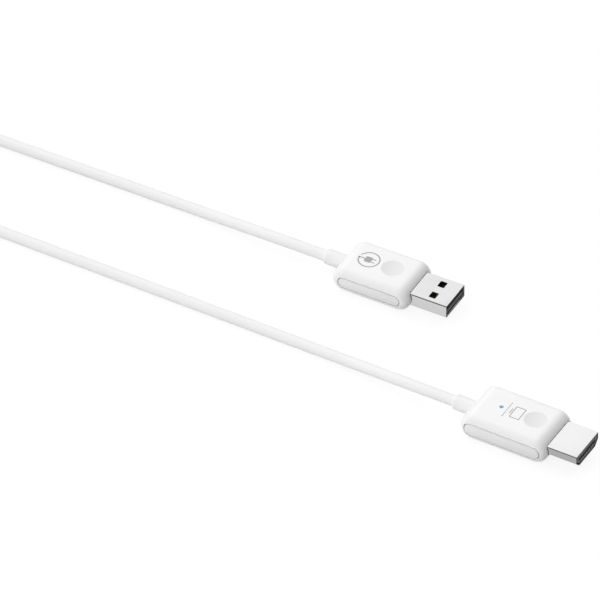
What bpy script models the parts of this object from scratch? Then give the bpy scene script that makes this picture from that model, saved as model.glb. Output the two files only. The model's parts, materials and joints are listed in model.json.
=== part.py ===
# Wireless display receiver: a slim moulded housing with a video plug at its front,
# and a captive lead that ends in a power plug with a housing of the same form.
# Lengths below are in millimetres. +X points out of the video plug, +Z is up.
import math

import bmesh
import bpy
from mathutils import Vector

MM = 0.001

# Fits shared by both ends
FIT = 0.15              # play round a piece that sits in a pocket, bore or slot
SEAT = 0.1              # film between two pieces that rest on each other
OVERCUT = 0.6           # how far a cutter runs past the wall that it opens

# Receiver housing, a bar with full round ends and softened side edges
RECEIVER_LENGTH = 30.3
RECEIVER_WIDTH = 18.9
RECEIVER_HEIGHT = 9.1
RECEIVER_EDGE = 2.7
RECEIVER_END_WALL = 3.95    # from the boot's seat, or as deep at the front, to the cavity
RECEIVER_INLAY_LENGTH = 26.05
RECEIVER_INLAY_HEIGHT = 4.3

# Power housing, the same form at its own size
POWER_LENGTH = 27.1
POWER_WIDTH = 18.0
POWER_HEIGHT = 8.6
POWER_EDGE = 2.7
POWER_END_WALL = 3.7
POWER_INLAY_LENGTH = 21.45
POWER_INLAY_HEIGHT = 3.7

# Where the power end lies on its lead, as a place on the floor and a turn about Z
POWER_X = -68.6
POWER_Y = 40.714
POWER_TURN = math.radians(1.08)

# Moulding details that both housings share
ROOF = 1.2              # wall above the cavity
PLATE_THICKNESS = 1.0
PLATE_INSET = 0.6       # from the underside's soft edges to the base plate's sides
PLATE_CORNER = 1.6
LEDGE = 0.8             # shoulder in the housing that the base plate seats on
INLAY_FIT = 0.2         # groove round a side strip
INLAY_THICKNESS = 0.85
INLAY_BEVEL = 0.12
DIMPLE_DIAMETER = 7.3
DIMPLE_DEPTH = 0.35
DIMPLE_OFF_CENTRE = 0.15
RECEIVER_DIMPLE_SETBACK = 8.45   # from the housing's front to the dimple's middle
POWER_DIMPLE_SETBACK = 10.0

# Video plug, the common full-size pattern with two chamfered lower corners
VIDEO_REACH = 9.7
VIDEO_WIDTH = 13.9
VIDEO_HEIGHT = 4.45
VIDEO_CHEEK = 2.6       # height of the upright part of its sides
VIDEO_FLOOR = 10.0      # width of its underside between the chamfers
VIDEO_SLOT_MARGIN = 0.55    # from the outermost contacts to the slot's ends
VIDEO_SLOT_HEIGHT = 1.9
VIDEO_UPPER_CONTACTS = 10
VIDEO_LOWER_CONTACTS = 9
VIDEO_PITCH = 1.0
VIDEO_CONTACT_WIDTH = 0.45
VIDEO_CONTACT_THICKNESS = 0.2
VIDEO_CONTACT_BUMP = 0.18
VIDEO_CONTACT_SETBACK = 0.9
VIDEO_BUMP_STEP = 0.8   # length of each of the bump's slopes, its crest and the nose before it
VIDEO_TAIL = 1.7        # length of contact that lies on the board

# Power plug, the common flat four-contact pattern
POWER_REACH = 12.2
POWER_PLUG_WIDTH = 12.0
POWER_PLUG_HEIGHT = 4.5
POWER_TONGUE_HEIGHT = 1.85
POWER_TONGUE_LENGTH = 9.4
POWER_CONTACT_WIDTH = 1.0
POWER_CONTACT_THICKNESS = 0.25
POWER_CONTACT_PLACES = ((-3.5, 7.4), (-1.0, 6.4), (1.0, 6.4), (3.5, 7.4))
WINDOW_LENGTH = 2.3
WINDOW_WIDTH = 2.7
WINDOW_SPACING = 5.7
WINDOW_SETBACK = 6.1

# Sheet metal of both plugs
SLEEVE_WALL = 0.3
SLEEVE_CORNER = 0.35
SLEEVE_INNER_CORNER = 0.12
SLEEVE_TUCK = 1.2       # how far a sleeve runs past the cavity's front wall
BLOCK_SETBACK = 0.45    # from a plug's tip to the insulator inside it

# Strain relief boots and the lead
BOOT_DIAMETER = 5.0
BOOT_LENGTH = 5.8
BOOT_ROUND = 0.9
BOOT_SEAT = 2.0         # depth of the counterbore that takes the boot
BOOT_NECK = 3.8
BOOT_FLANGE = 0.8
LEAD_DIAMETER = 3.6
LEAD_STEP = 7.0         # spacing of the points along the lead

# Board and what it carries. A chip has its size, the board edges that it lies by, in X and Y
# (0 is the board's middle), and its inset from those edges or its distance from the middle.
# A chip that stands in a row takes its place there, and None stands for the inset
BOARD_THICKNESS = 0.8
BOARD_SIDE_PLAY = 0.25
POST_DIAMETER = 1.8
POST_INSET = 1.6
LED_SETBACK = 20.4     # from the housing's front to the status lamp
LED_OFF_CENTRE = 0.2
LED_SIZE = (1.6, 0.8, 0.6)
PIPE_DIAMETER = 1.0
WIRE_DIAMETER = 0.9
WIRE_LENGTH = 2.2
WIRE_SPREAD = 2.4
UPPER_CHIPS = (
    ("processor_chip", (6.0, 6.0, 0.9), (0, 0), (None, None)),
    ("radio_can", (5.2, 3.6, 1.4), (0, -1), (None, 0.3)),
    ("clock_crystal", (3.2, 2.5, 0.7), (-1, 0), (0.8, None)),
    ("supply_coil", (3.0, 3.0, 1.4), (0, 1), (-2.0, 0.3)),
    ("capacitor_1", (1.6, 0.8, 0.8), (0, 0), (1.6, None)),
    ("capacitor_2", (1.6, 0.8, 0.8), (0, 0), (1.6, None)),
    ("capacitor_3", (1.6, 0.8, 0.8), (0, 0), (4.4, None)),
)
LOWER_CHIPS = (("memory_chip", (6.0, 7.0, 0.8), (0, 0), (0.0, 0.0)),)
# Rows of chips with the gaps before, between and after them, which share out the room there is
LONG_ROW = (("radio_can", "processor_chip"), (0.4, 0.15, 0.35))    # from the wires to the contacts' tails
CROSS_ROW = (("processor_chip", "capacitor_1", "capacitor_2"), (1.1, 0.4, 0.5, 0.6))    # edge to edge
FAR_ROW = (("capacitor_3",), (1.1, 1.2))    # from the processor to the far edge
WIRE_ROW = (("clock_crystal",), (0.5, 0.45))    # from the far wire to the far edge

# Inner moulding that joins the lead to the power plug
INNER_MOULD_LENGTH = 8.5
INNER_MOULD_WIDTH = 9.4
INNER_MOULD_CORNER = 1.0

# Facets
ARC_STEPS = 14          # along a half circle of a housing's end
EDGE_STEPS = 5          # across a softened edge
CORNER_STEPS = 4
ROUND_STEPS = 32
DIMPLE_RINGS = 4

# The lead's route: out of the receiver, down to the floor, one U-turn and back to the power end
LEAD_ROUTE = (
    (-23.2, 0.0, 4.55), (-30.5, 0.02, 4.53), (-41.5, 0.49, 4.06), (-54.5, 1.6, 2.96),
    (-67.5, 2.43, 2.13), (-81.5, 2.71, 1.85), (-110.0, 2.71, 1.85), (-150.0, 2.71, 1.85),
    (-190.0, 2.71, 1.85), (-210.0, 2.71, 1.85), (-222.0, 2.95, 1.85), (-231.4, 5.55, 1.85),
    (-238.3, 12.25, 1.85), (-240.8, 21.55, 1.85), (-238.3, 30.85, 1.85), (-231.4, 37.65, 1.85),
    (-222.0, 40.15, 1.85), (-210.0, 40.55, 1.85), (-190.0, 40.93, 1.85), (-165.0, 41.4, 1.85),
    (-150.0, 41.65, 1.85), (-136.0, 41.685, 2.09), (-123.0, 41.2, 2.83), (-110.0, 40.45, 3.85),
    (-98.0, 40.21, 4.27), (-91.446, 40.283, 4.3),
)


def clear_scene():
    for item in list(bpy.data.objects):
        bpy.data.objects.remove(item, do_unlink=True)


def make_material(name, colour, roughness, metallic=0.0):
    material = bpy.data.materials.new(name)
    material.use_nodes = True
    shader = material.node_tree.nodes["Principled BSDF"]
    shader.inputs["Base Color"].default_value = (*colour, 1.0)
    shader.inputs["Roughness"].default_value = roughness
    shader.inputs["Metallic"].default_value = metallic
    return material


def add_empty(name, x=0.0, y=0.0, turn=0.0):
    empty = bpy.data.objects.new(name, None)
    empty.location = (x * MM, y * MM, 0.0)
    empty.rotation_euler = (0.0, 0.0, turn)
    bpy.context.collection.objects.link(empty)
    return empty


def add_solid(name, bm, parent, material=None):
    """Turn a mesh in millimetres into a named object under its parent."""
    bmesh.ops.recalc_face_normals(bm, faces=bm.faces)
    bmesh.ops.scale(bm, vec=(MM, MM, MM), verts=bm.verts)
    mesh = bpy.data.meshes.new(name)
    bm.to_mesh(mesh)
    bm.free()
    mesh.shade_smooth()
    mesh.set_sharp_from_angle(angle=math.radians(32))
    item = bpy.data.objects.new(name, mesh)
    item.parent = parent
    bpy.context.collection.objects.link(item)
    if material:
        mesh.materials.append(material)
    return item


def combine(target, name, bm, operation="DIFFERENCE"):
    """Cut a mesh from an object, or join it to the object."""
    tool = add_solid(name, bm, target.parent)
    tool.hide_render = True
    tool.display_type = "WIRE"
    modifier = target.modifiers.new(name, "BOOLEAN")
    modifier.operation = operation
    modifier.object = tool
    modifier.solver = "EXACT"


def loft(rings):
    """Skin a row of closed rings that have the same number of points, and cap both ends."""
    bm = bmesh.new()
    loops = [[bm.verts.new(point) for point in ring] for ring in rings]
    for first, second in zip(loops, loops[1:]):
        for i in range(len(first)):
            j = (i + 1) % len(first)
            bm.faces.new((first[i], first[j], second[j], second[i]))
    bm.faces.new(loops[0])
    bm.faces.new(loops[-1])
    return bm


def prism_x(outline, start, stop):
    return loft([[(x, y, z) for y, z in outline] for x in (start, stop)])


def prism_y(outline, start, stop):
    return loft([[(x, y, z) for x, z in outline] for y in (start, stop)])


def prism_z(outline, start, stop):
    return loft([[(x, y, z) for x, y in outline] for z in (start, stop)])


def tube_x(outer, inner, start, stop):
    """A straight tube along X between an outer and an inner outline of as many points."""
    bm = bmesh.new()
    rings = []
    for outline, x in ((outer, start), (outer, stop), (inner, stop), (inner, start)):
        rings.append([bm.verts.new((x, y, z)) for y, z in outline])
    for first, second in zip(rings, rings[1:] + rings[:1]):
        for i in range(len(first)):
            j = (i + 1) % len(first)
            bm.faces.new((first[i], first[j], second[j], second[i]))
    return bm


def turned(profile, centre, along_x):
    """Turn (distance, radius) pairs about a line through centre along X, or along Z."""
    bm = bmesh.new()
    rings = []
    for distance, radius in profile:
        ring = []
        for i in range(ROUND_STEPS):
            angle = 2 * math.pi * i / ROUND_STEPS
            side, up = radius * math.cos(angle), radius * math.sin(angle)
            offset = Vector((distance, side, up)) if along_x else Vector((side, up, distance))
            ring.append(bm.verts.new(centre + offset))
        rings.append(ring)
    for first, second in zip(rings, rings[1:]):
        for i in range(ROUND_STEPS):
            j = (i + 1) % ROUND_STEPS
            bm.faces.new((first[i], first[j], second[j], second[i]))
    bm.faces.new(rings[0])
    bm.faces.new(rings[-1])
    return bm


def stadium(length, height, middle_x, middle_z, inset=0.0):
    """Outline in X and Z of a bar with full round ends, drawn in by an inset."""
    radius = height / 2 - inset
    reach = length / 2 - height / 2
    points = []
    for side, first in ((1, -math.pi / 2), (-1, math.pi / 2)):
        for i in range(ARC_STEPS + 1):
            angle = first + math.pi * i / ARC_STEPS
            points.append((middle_x + side * reach + radius * math.cos(angle),
                           middle_z + radius * math.sin(angle)))
    return points


def soft_edge_bar(outline_at, width, edge):
    """Loft a bar across Y whose outline draws in along a quarter circle at both sides."""
    rings = []
    for side in (-1, 1):
        for i in range(EDGE_STEPS + 1):
            step = i if side < 0 else EDGE_STEPS - i
            angle = math.pi / 2 * step / EDGE_STEPS
            inset = edge * (1 - math.sin(angle))
            y = side * (width / 2 - edge * (1 - math.cos(angle)))
            rings.append([(x, y, z) for x, z in outline_at(inset)])
    return loft(rings)


def offset_outline(corners, distance):
    """Move each side of a convex outline, given anticlockwise, outwards by a distance."""
    count = len(corners)
    sides = []
    for i in range(count):
        start, stop = Vector(corners[i]), Vector(corners[(i + 1) % count])
        along = (stop - start).normalized()
        out = Vector((along.y, -along.x)) * distance
        sides.append((start + out, along))
    moved = []
    for i in range(count):
        (point, along), (other, other_along) = sides[i - 1], sides[i]
        cross = along.x * other_along.y - along.y * other_along.x
        gap = other - point
        moved.append(point + along * ((gap.x * other_along.y - gap.y * other_along.x) / cross))
    return moved


def round_corners(corners, radius):
    """Replace each corner of a convex outline by an arc."""
    points = []
    count = len(corners)
    for i in range(count):
        corner = Vector(corners[i])
        back = (Vector(corners[i - 1]) - corner).normalized()
        ahead = (Vector(corners[(i + 1) % count]) - corner).normalized()
        half = back.angle(ahead) / 2
        centre = corner + (back + ahead).normalized() * radius / math.sin(half)
        start = corner + back * radius / math.tan(half) - centre
        sweep = math.pi - 2 * half
        for k in range(CORNER_STEPS + 1):
            turn = sweep * k / CORNER_STEPS
            points.append((centre.x + start.x * math.cos(turn) - start.y * math.sin(turn),
                           centre.y + start.x * math.sin(turn) + start.y * math.cos(turn)))
    return points


def rectangle(length, width, middle=(0.0, 0.0)):
    x, y = middle
    a, b = length / 2, width / 2
    return [(x - a, y - b), (x + a, y - b), (x + a, y + b), (x - a, y + b)]


def box(size, middle):
    length, width, height = size
    x, y, z = middle
    return prism_z(rectangle(length, width, (x, y)), z - height / 2, z + height / 2)


class HousingPlan:
    """Places along one housing, worked out from its driving sizes."""

    def __init__(self, length, width, height, edge, end_wall, reach):
        self.length, self.width, self.height, self.edge = length, width, height, edge
        self.tip = (BOOT_LENGTH + length + reach) / 2
        self.front = self.tip - reach
        self.back = self.front - length
        self.boot_end = self.back - BOOT_LENGTH
        self.middle = (self.front + self.back) / 2
        self.axis = height / 2
        self.cavity_length = length - 2 * (BOOT_SEAT + end_wall)
        self.plate_length = self.cavity_length + 2 * LEDGE
        self.plate_width = width - 2 * edge - 2 * PLATE_INSET
        self.cavity_width = self.plate_width - 2 * LEDGE
        self.cavity_front = self.middle + self.cavity_length / 2
        self.cavity_back = self.middle - self.cavity_length / 2
        self.plate_top = PLATE_THICKNESS
        self.sleeve_rear = self.cavity_front - SLEEVE_TUCK
        self.flange_front = self.cavity_back + SEAT + BOOT_FLANGE

    def outline(self, inset):
        return stadium(self.length, self.height, self.middle, self.axis, inset)


def add_housing(name, plan, sleeve_corners, inlay_size, dimple_setback, parent, material, rooms=()):
    """Moulded shell, open below for its base plate, with pockets for all that it holds."""
    shell = add_solid(name, soft_edge_bar(plan.outline, plan.width, plan.edge), parent, material)
    for label, room in rooms:
        combine(shell, name + label, room)
    pocket = round_corners(rectangle(plan.plate_length + 2 * FIT, plan.plate_width + 2 * FIT,
                                     (plan.middle, 0.0)), PLATE_CORNER)
    pocket_top = PLATE_THICKNESS + SEAT
    combine(shell, name + "_plate_pocket", prism_z(pocket, -OVERCUT, pocket_top))
    cavity = round_corners(rectangle(plan.cavity_length, plan.cavity_width, (plan.middle, 0.0)),
                           PLATE_CORNER)
    combine(shell, name + "_cavity", prism_z(cavity, pocket_top - OVERCUT, plan.height - ROOF))
    opening = round_corners(offset_outline(sleeve_corners, FIT), SLEEVE_CORNER + FIT)
    combine(shell, name + "_plug_opening",
            prism_x(opening, plan.sleeve_rear - FIT, plan.front + OVERCUT))
    wide, narrow = BOOT_DIAMETER / 2 + FIT, BOOT_NECK / 2 + FIT
    seat = plan.back + BOOT_SEAT + SEAT
    bore = ((plan.back - OVERCUT, wide), (seat, wide), (seat, narrow), (plan.cavity_back + OVERCUT, narrow))
    combine(shell, name + "_boot_bore", turned(bore, Vector((0.0, 0.0, plan.axis)), True))
    length, height = inlay_size
    recess = stadium(length + 2 * INLAY_FIT, height + 2 * INLAY_FIT, plan.middle, plan.axis)
    depth = INLAY_THICKNESS + SEAT
    for side, label in ((-1, "_near_recess"), (1, "_far_recess")):
        wall = side * plan.width / 2
        combine(shell, name + label, prism_y(recess, wall - side * depth, wall + side * OVERCUT))
    place = Vector((plan.front - dimple_setback, DIMPLE_OFF_CENTRE, plan.height))
    combine(shell, name + "_dimple", dimple_tool(place))
    return shell


def dimple_tool(place):
    """Shallow dish whose rim lies in the roof's upper face."""
    rim = DIMPLE_DIAMETER / 2
    ball = (rim ** 2 + DIMPLE_DEPTH ** 2) / (2 * DIMPLE_DEPTH)
    sweep = math.asin(rim / ball)
    profile = []
    for i in range(1, DIMPLE_RINGS + 1):
        angle = sweep * i / DIMPLE_RINGS
        profile.append((ball * (1 - math.cos(angle)) - DIMPLE_DEPTH, ball * math.sin(angle)))
    profile.append((OVERCUT, rim))
    return turned(profile, place, False)


def add_base_plate(name, plan, parent, material):
    outline = round_corners(rectangle(plan.plate_length, plan.plate_width, (plan.middle, 0.0)),
                            PLATE_CORNER - FIT)
    return add_solid(name, prism_z(outline, 0.0, PLATE_THICKNESS), parent, material)


def add_inlays(prefix, plan, inlay_size, parent, material):
    """Flush strip in each side, with a fine bevel round its outer face."""
    length, height = inlay_size
    for side, label in ((-1, "near"), (1, "far")):
        outer = side * plan.width / 2
        faces = ((outer - side * INLAY_THICKNESS, 0.0), (outer - side * INLAY_BEVEL, 0.0),
                 (outer, INLAY_BEVEL))
        rings = []
        for y, inset in faces:
            outline = stadium(length, height, plan.middle, plan.axis, inset)
            rings.append([(x, y, z) for x, z in outline])
        add_solid(prefix + "_inlay_" + label, loft(rings), parent, material)


def add_boot(name, plan, parent, material):
    """Strain relief: a round-nosed barrel, a neck through the wall and a flange inside."""
    barrel, neck = BOOT_DIAMETER / 2, BOOT_NECK / 2
    profile = []
    for i in range(CORNER_STEPS + 1):
        angle = math.pi / 2 * i / CORNER_STEPS
        profile.append((plan.boot_end + BOOT_ROUND * (1 - math.sin(angle)),
                        barrel - BOOT_ROUND * (1 - math.cos(angle))))
    profile.reverse()
    seat = plan.back + BOOT_SEAT
    flange_back = plan.cavity_back + SEAT
    profile += [(seat, barrel), (seat, neck), (flange_back, neck), (flange_back, barrel),
                (plan.flange_front, barrel)]
    solid = turned(profile, Vector((0.0, 0.0, plan.axis)), True)
    return add_solid(name, solid, parent, material)


def video_corners(axis):
    """Outline in Y and Z of the video plug, anticlockwise seen from its tip."""
    half, floor = VIDEO_WIDTH / 2, VIDEO_FLOOR / 2
    top, low = axis + VIDEO_HEIGHT / 2, axis - VIDEO_HEIGHT / 2
    cheek = top - VIDEO_CHEEK
    return [(-floor, low), (floor, low), (half, cheek), (half, top), (-half, top), (-half, cheek)]


def power_corners(axis):
    return rectangle(POWER_PLUG_WIDTH, POWER_PLUG_HEIGHT, (0.0, axis))


def add_sleeve(name, corners, plan, parent, material):
    outer = round_corners(corners, SLEEVE_CORNER)
    inner = round_corners(offset_outline(corners, -SLEEVE_WALL), SLEEVE_INNER_CORNER)
    return add_solid(name, tube_x(outer, inner, plan.sleeve_rear, plan.tip), parent, material)


def video_contact(plan, row, y, board_front):
    """A flat spring along the slot, with a low bump near its tip and a tail on the board."""
    tip = plan.tip - BLOCK_SETBACK - VIDEO_CONTACT_SETBACK
    rear = board_front - VIDEO_TAIL
    outer = VIDEO_SLOT_HEIGHT / 2 - SEAT
    inner = outer - VIDEO_CONTACT_THICKNESS
    bump = [tip - steps * VIDEO_BUMP_STEP for steps in (4, 3, 2, 1)]
    profile = [(rear, inner), (bump[0], inner), (bump[1], inner - VIDEO_CONTACT_BUMP),
               (bump[2], inner - VIDEO_CONTACT_BUMP), (bump[3], inner), (tip, inner),
               (tip, outer), (bump[3], outer), (bump[2], outer - VIDEO_CONTACT_BUMP),
               (bump[1], outer - VIDEO_CONTACT_BUMP), (bump[0], outer), (rear, outer)]
    outline = [(x, plan.axis + row * z) for x, z in profile]
    return prism_y(outline, y - VIDEO_CONTACT_WIDTH / 2, y + VIDEO_CONTACT_WIDTH / 2)


def video_slot(axis):
    """Outline in Y and Z of the slot that the contacts run in."""
    row = max(VIDEO_UPPER_CONTACTS, VIDEO_LOWER_CONTACTS)
    width = (row - 1) * VIDEO_PITCH + VIDEO_CONTACT_WIDTH + 2 * VIDEO_SLOT_MARGIN
    return rectangle(width, VIDEO_SLOT_HEIGHT, (0.0, axis))


def tail_room(plan):
    """Room behind the video plug for its contacts' tails, as wide as their slot."""
    rear = plan.sleeve_rear - 2 * FIT - VIDEO_TAIL
    return prism_x(video_slot(plan.axis), rear, plan.sleeve_rear + OVERCUT)


def add_video_plug(plan, board_front, parent, metal, insulator, gold):
    corners = video_corners(plan.axis)
    add_sleeve("video_plug_sleeve", corners, plan, parent, metal)
    around = offset_outline(corners, -SLEEVE_WALL - FIT)
    outer = round_corners(around, SLEEVE_INNER_CORNER)
    slot = video_slot(plan.axis)
    front = plan.tip - BLOCK_SETBACK
    block = add_solid("video_contact_block", prism_x(outer, plan.sleeve_rear, front), parent, insulator)
    combine(block, "video_contact_slot",
            prism_x(slot, plan.sleeve_rear - OVERCUT, front + OVERCUT))
    number = 1
    for row, count in ((1, VIDEO_UPPER_CONTACTS), (-1, VIDEO_LOWER_CONTACTS)):
        for i in range(count):
            y = (i - (count - 1) / 2) * VIDEO_PITCH
            add_solid(f"video_contact_{number:02d}", video_contact(plan, row, y, board_front), parent, gold)
            number += 1


def add_power_plug(plan, parent, metal, insulator, gold):
    corners = power_corners(plan.axis)
    sleeve = add_sleeve("power_plug_sleeve", corners, plan, parent, metal)
    wall_middle = POWER_PLUG_HEIGHT / 2 - SLEEVE_WALL / 2
    for face, label in ((1, "upper"), (-1, "lower")):
        for side, hand in ((-1, "near"), (1, "far")):
            size = (WINDOW_LENGTH, WINDOW_WIDTH, SLEEVE_WALL + OVERCUT)
            place = (plan.tip - WINDOW_SETBACK, side * WINDOW_SPACING / 2, plan.axis + face * wall_middle)
            combine(sleeve, f"window_{label}_{hand}", box(size, place))
    half = POWER_PLUG_WIDTH / 2 - SLEEVE_WALL - FIT
    low = plan.axis - POWER_PLUG_HEIGHT / 2 + SLEEVE_WALL + FIT
    high = plan.axis + POWER_PLUG_HEIGHT / 2 - SLEEVE_WALL - FIT
    tongue_top = low + POWER_TONGUE_HEIGHT
    front = plan.tip - BLOCK_SETBACK
    root = front - POWER_TONGUE_LENGTH
    profile = [(plan.sleeve_rear, low), (front, low), (front, tongue_top), (root, tongue_top),
               (root, high), (plan.sleeve_rear, high)]
    add_solid("power_contact_block", prism_y(profile, -half, half), parent, insulator)
    for number, (y, length) in enumerate(POWER_CONTACT_PLACES, 1):
        size = (length, POWER_CONTACT_WIDTH, POWER_CONTACT_THICKNESS)
        place = (root + FIT + length / 2, y, tongue_top + SEAT + POWER_CONTACT_THICKNESS / 2)
        add_solid(f"power_contact_{number}", box(size, place), parent, gold)


def beside(edge, inset, span, size):
    """Middle of a piece that lies an inset away from one end of a span, or off its middle."""
    return edge * (span / 2 - inset - size / 2) if edge else inset


def in_row(row, sizes, start, stop):
    """Middles of a row's pieces between two places, with the room to spare shared as its gaps are."""
    names, gaps = row
    scale = (stop - start - sum(sizes[name] for name in names)) / sum(gaps)
    middles = {}
    for name, gap in zip(names, gaps):
        start += gap * scale + sizes[name]
        middles[name] = start - sizes[name] / 2
    return middles


def chip_rows(length, width):
    """Places in X and in Y, from the board's middle, of the chips that stand in rows."""
    long = {name: size[0] for name, size, _, _ in UPPER_CHIPS}
    wide = {name: size[1] for name, size, _, _ in UPPER_CHIPS}
    along = in_row(LONG_ROW, long, WIRE_LENGTH - length / 2, length / 2 - VIDEO_TAIL)
    across = in_row(CROSS_ROW, wide, -width / 2, width / 2)
    far_side = across["processor_chip"] + wide["processor_chip"] / 2
    across.update(in_row(FAR_ROW, wide, far_side, width / 2))
    across.update(in_row(WIRE_ROW, wide, (WIRE_SPREAD + WIRE_DIAMETER) / 2, width / 2))
    return along, across


def add_board(plan, shell, plate, parent, looks):
    """Circuit board on four posts of the base plate, with its chips, lamp and supply wires."""
    rear = plan.flange_front + FIT
    front = plan.sleeve_rear - FIT
    length = front - rear
    width = plan.cavity_width - 2 * BOARD_SIDE_PLAY
    middle = (front + rear) / 2
    low, high = plan.axis - BOARD_THICKNESS / 2, plan.axis + BOARD_THICKNESS / 2
    add_solid("main_board", box((length, width, BOARD_THICKNESS), (middle, 0.0, plan.axis)), parent,
              looks["board"])
    for x, end in ((rear + POST_INSET, "rear"), (front - VIDEO_TAIL - POST_INSET, "front")):
        for side, hand in ((-1, "near"), (1, "far")):
            foot = Vector((x, side * (width / 2 - POST_INSET), 0.0))
            post = ((PLATE_THICKNESS - OVERCUT, POST_DIAMETER / 2), (low - SEAT, POST_DIAMETER / 2))
            combine(plate, f"post_{end}_{hand}", turned(post, foot, False), "UNION")
    along, across = chip_rows(length, width)
    for chips, side, face in ((UPPER_CHIPS, 1, high), (LOWER_CHIPS, -1, low)):
        for name, size, by_edge, inset in chips:
            x = middle + beside(by_edge[0], along.get(name, inset[0]), length, size[0])
            y = beside(by_edge[1], across.get(name, inset[1]), width, size[1])
            place = (x, y, face + side * (SEAT + size[2] / 2))
            add_solid(name, box(size, place), parent, looks[name.split("_")[0]])
    lamp_x = plan.front - LED_SETBACK
    lamp_top = high + SEAT + LED_SIZE[2]
    add_solid("status_led", box(LED_SIZE, (lamp_x, LED_OFF_CENTRE, lamp_top - LED_SIZE[2] / 2)), parent,
              looks["lamp"])
    centre = Vector((lamp_x, LED_OFF_CENTRE, 0.0))
    pipe = ((lamp_top + SEAT, PIPE_DIAMETER / 2), (plan.height, PIPE_DIAMETER / 2))
    add_solid("light_pipe", turned(pipe, centre, False), parent, looks["lamp"])
    hole = ((plan.height - ROOF - OVERCUT, PIPE_DIAMETER / 2 + FIT),
            (plan.height + OVERCUT, PIPE_DIAMETER / 2 + FIT))
    combine(shell, "light_pipe_hole", turned(hole, centre, False))
    for side, name in ((-1, "supply_wire_positive"), (1, "supply_wire_negative")):
        axis = Vector((0.0, side * WIRE_SPREAD / 2, high + SEAT + WIRE_DIAMETER / 2))
        run = ((rear, WIRE_DIAMETER / 2), (rear + WIRE_LENGTH, WIRE_DIAMETER / 2))
        add_solid(name, turned(run, axis, True), parent, looks[name])
    return front


def add_inner_mould(plan, parent, material):
    """Block behind the power plug that holds its tails and the ends of the lead's wires."""
    front = plan.sleeve_rear - FIT
    low = PLATE_THICKNESS + SEAT
    high = plan.height - ROOF - FIT
    outline = round_corners(rectangle(INNER_MOULD_LENGTH, INNER_MOULD_WIDTH,
                                      (front - INNER_MOULD_LENGTH / 2, 0.0)), INNER_MOULD_CORNER)
    return add_solid("power_inner_mould", prism_z(outline, low, high), parent, material)


def smooth_route(points, step):
    """Points a step apart on a smooth curve through the route's own points."""
    knots = [Vector(p) for p in points]
    knots = [2 * knots[0] - knots[1]] + knots + [2 * knots[-1] - knots[-2]]
    fine = []
    for a, b, c, d in zip(knots, knots[1:], knots[2:], knots[3:]):
        pieces = max(2, round((c - b).length * 2))
        for i in range(pieces):
            t = i / pieces
            fine.append(0.5 * (2 * b + (c - a) * t + (2 * a - 5 * b + 4 * c - d) * t ** 2
                               + (3 * b - a - 3 * c + d) * t ** 3))
    fine.append(knots[-2])
    total = sum((b - a).length for a, b in zip(fine, fine[1:]))
    spans = max(1, round(total / step))
    marks, run = [fine[0]], 0.0
    for a, b in zip(fine, fine[1:]):
        run += (b - a).length
        if run >= total / spans * len(marks) and len(marks) < spans:
            marks.append(b)
    return marks + [fine[-1]]


def add_lead(material):
    curve = bpy.data.curves.new("power_lead", "CURVE")
    curve.dimensions = "3D"
    curve.bevel_depth = LEAD_DIAMETER / 2 * MM
    curve.bevel_resolution = 2
    curve.use_fill_caps = True
    route = smooth_route(LEAD_ROUTE, LEAD_STEP)
    spline = curve.splines.new("POLY")
    spline.points.add(len(route) - 1)
    for point, place in zip(spline.points, route):
        point.co = (*(place * MM), 1.0)
    curve.materials.append(material)
    bpy.context.collection.objects.link(bpy.data.objects.new("power_lead", curve))


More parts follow.
